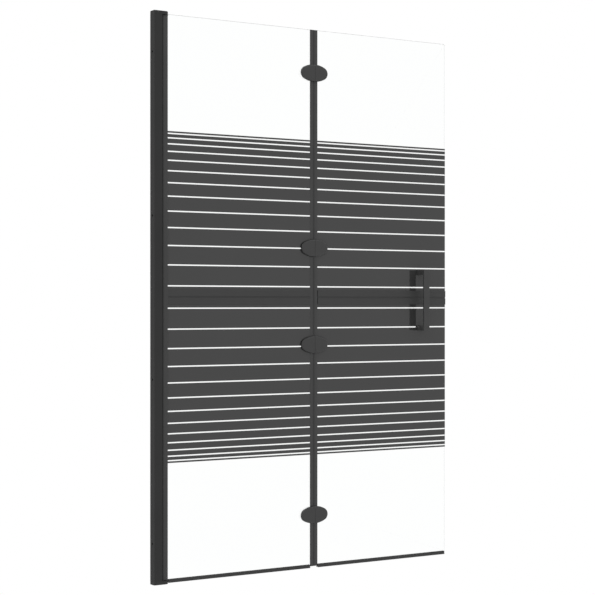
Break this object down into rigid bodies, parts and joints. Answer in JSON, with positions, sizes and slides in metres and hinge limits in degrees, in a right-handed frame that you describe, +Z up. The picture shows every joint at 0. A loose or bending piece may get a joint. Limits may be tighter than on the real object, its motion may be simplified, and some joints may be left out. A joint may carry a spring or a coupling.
{
  "type": "folding shower enclosure",
  "caption": "Folding bath screen: clear glass panels with black graded stripes, on a pivoting wall profile, joined by oval black hinges, with a bar handle.",
  "frame": {"origin": "on the wall face, on the centre plane of the glass, level with the underside of the bottom end cap", "axes": "+X out from the wall along the closed panels, -Y the handle side, +Z up"},
  "size_m": [0.9, 0.0515, 1.4],
  "materials": {
    "frame_black": "fine matte powder coat",
    "adjuster_black": "matte powder coat",
    "cap_plastic": "fine moulded grain",
    "steel": "turned",
    "black_screws": "black oxide",
    "glass": "clear toughened, polished edges",
    "stripe_print": "glossy fired print",
    "rail_black": "satin coat",
    "trim_black": "satin black anodised",
    "hinge_black": "satin coat on a zinc casting",
    "handle_black": "satin coat",
    "seal_rubber": "matte"
  },
  "bodies": {
    "wall_frame": {"wall_channel": "frame_black", "adjustment_profile": "adjuster_black", "draft_seal": "seal_rubber", "clamp_screws": "black_screws", "end_caps": "cap_plastic"},
    "inner_panel": {"pivot_post": "frame_black", "pivot_pins": "steel", "glazing_gasket": "seal_rubber", "inner_glass": "glass", "inner_stripes": "stripe_print", "inner_centre_rail": "rail_black", "inner_bottom_seal": "seal_rubber", "inner_edge_trim": "trim_black", "fold_seal": "seal_rubber", "inner_hinge_front_plates": "hinge_black", "inner_hinge_back_leaves": "hinge_black", "inner_hinge_gaskets": "seal_rubber"},
    "outer_panel": {"outer_glass": "glass", "outer_stripes": "stripe_print", "outer_centre_rail": "rail_black", "outer_bottom_seal": "seal_rubber", "outer_edge_trim": "trim_black", "handle": "handle_black", "handle_gaskets": "seal_rubber", "handle_washers": "seal_rubber", "handle_bolts": "black_screws", "outer_hinge_front_plates": "hinge_black", "outer_hinge_back_leaves": "hinge_black", "outer_hinge_gaskets": "seal_rubber"}
  },
  "joints": [
    {"name": "wall_pivot", "type": "hinge", "parent": "wall_frame", "child": "inner_panel", "pos_m": [0.0306, 0, 0.7], "axis": [0, 0, 1], "range_deg": [-90, 90]},
    {"name": "panel_fold", "type": "hinge", "parent": "inner_panel", "child": "outer_panel", "pos_m": [0.4699, 0.0105, 0.7], "axis": [0, 0, 1], "range_deg": [0, 170]}
  ]
}
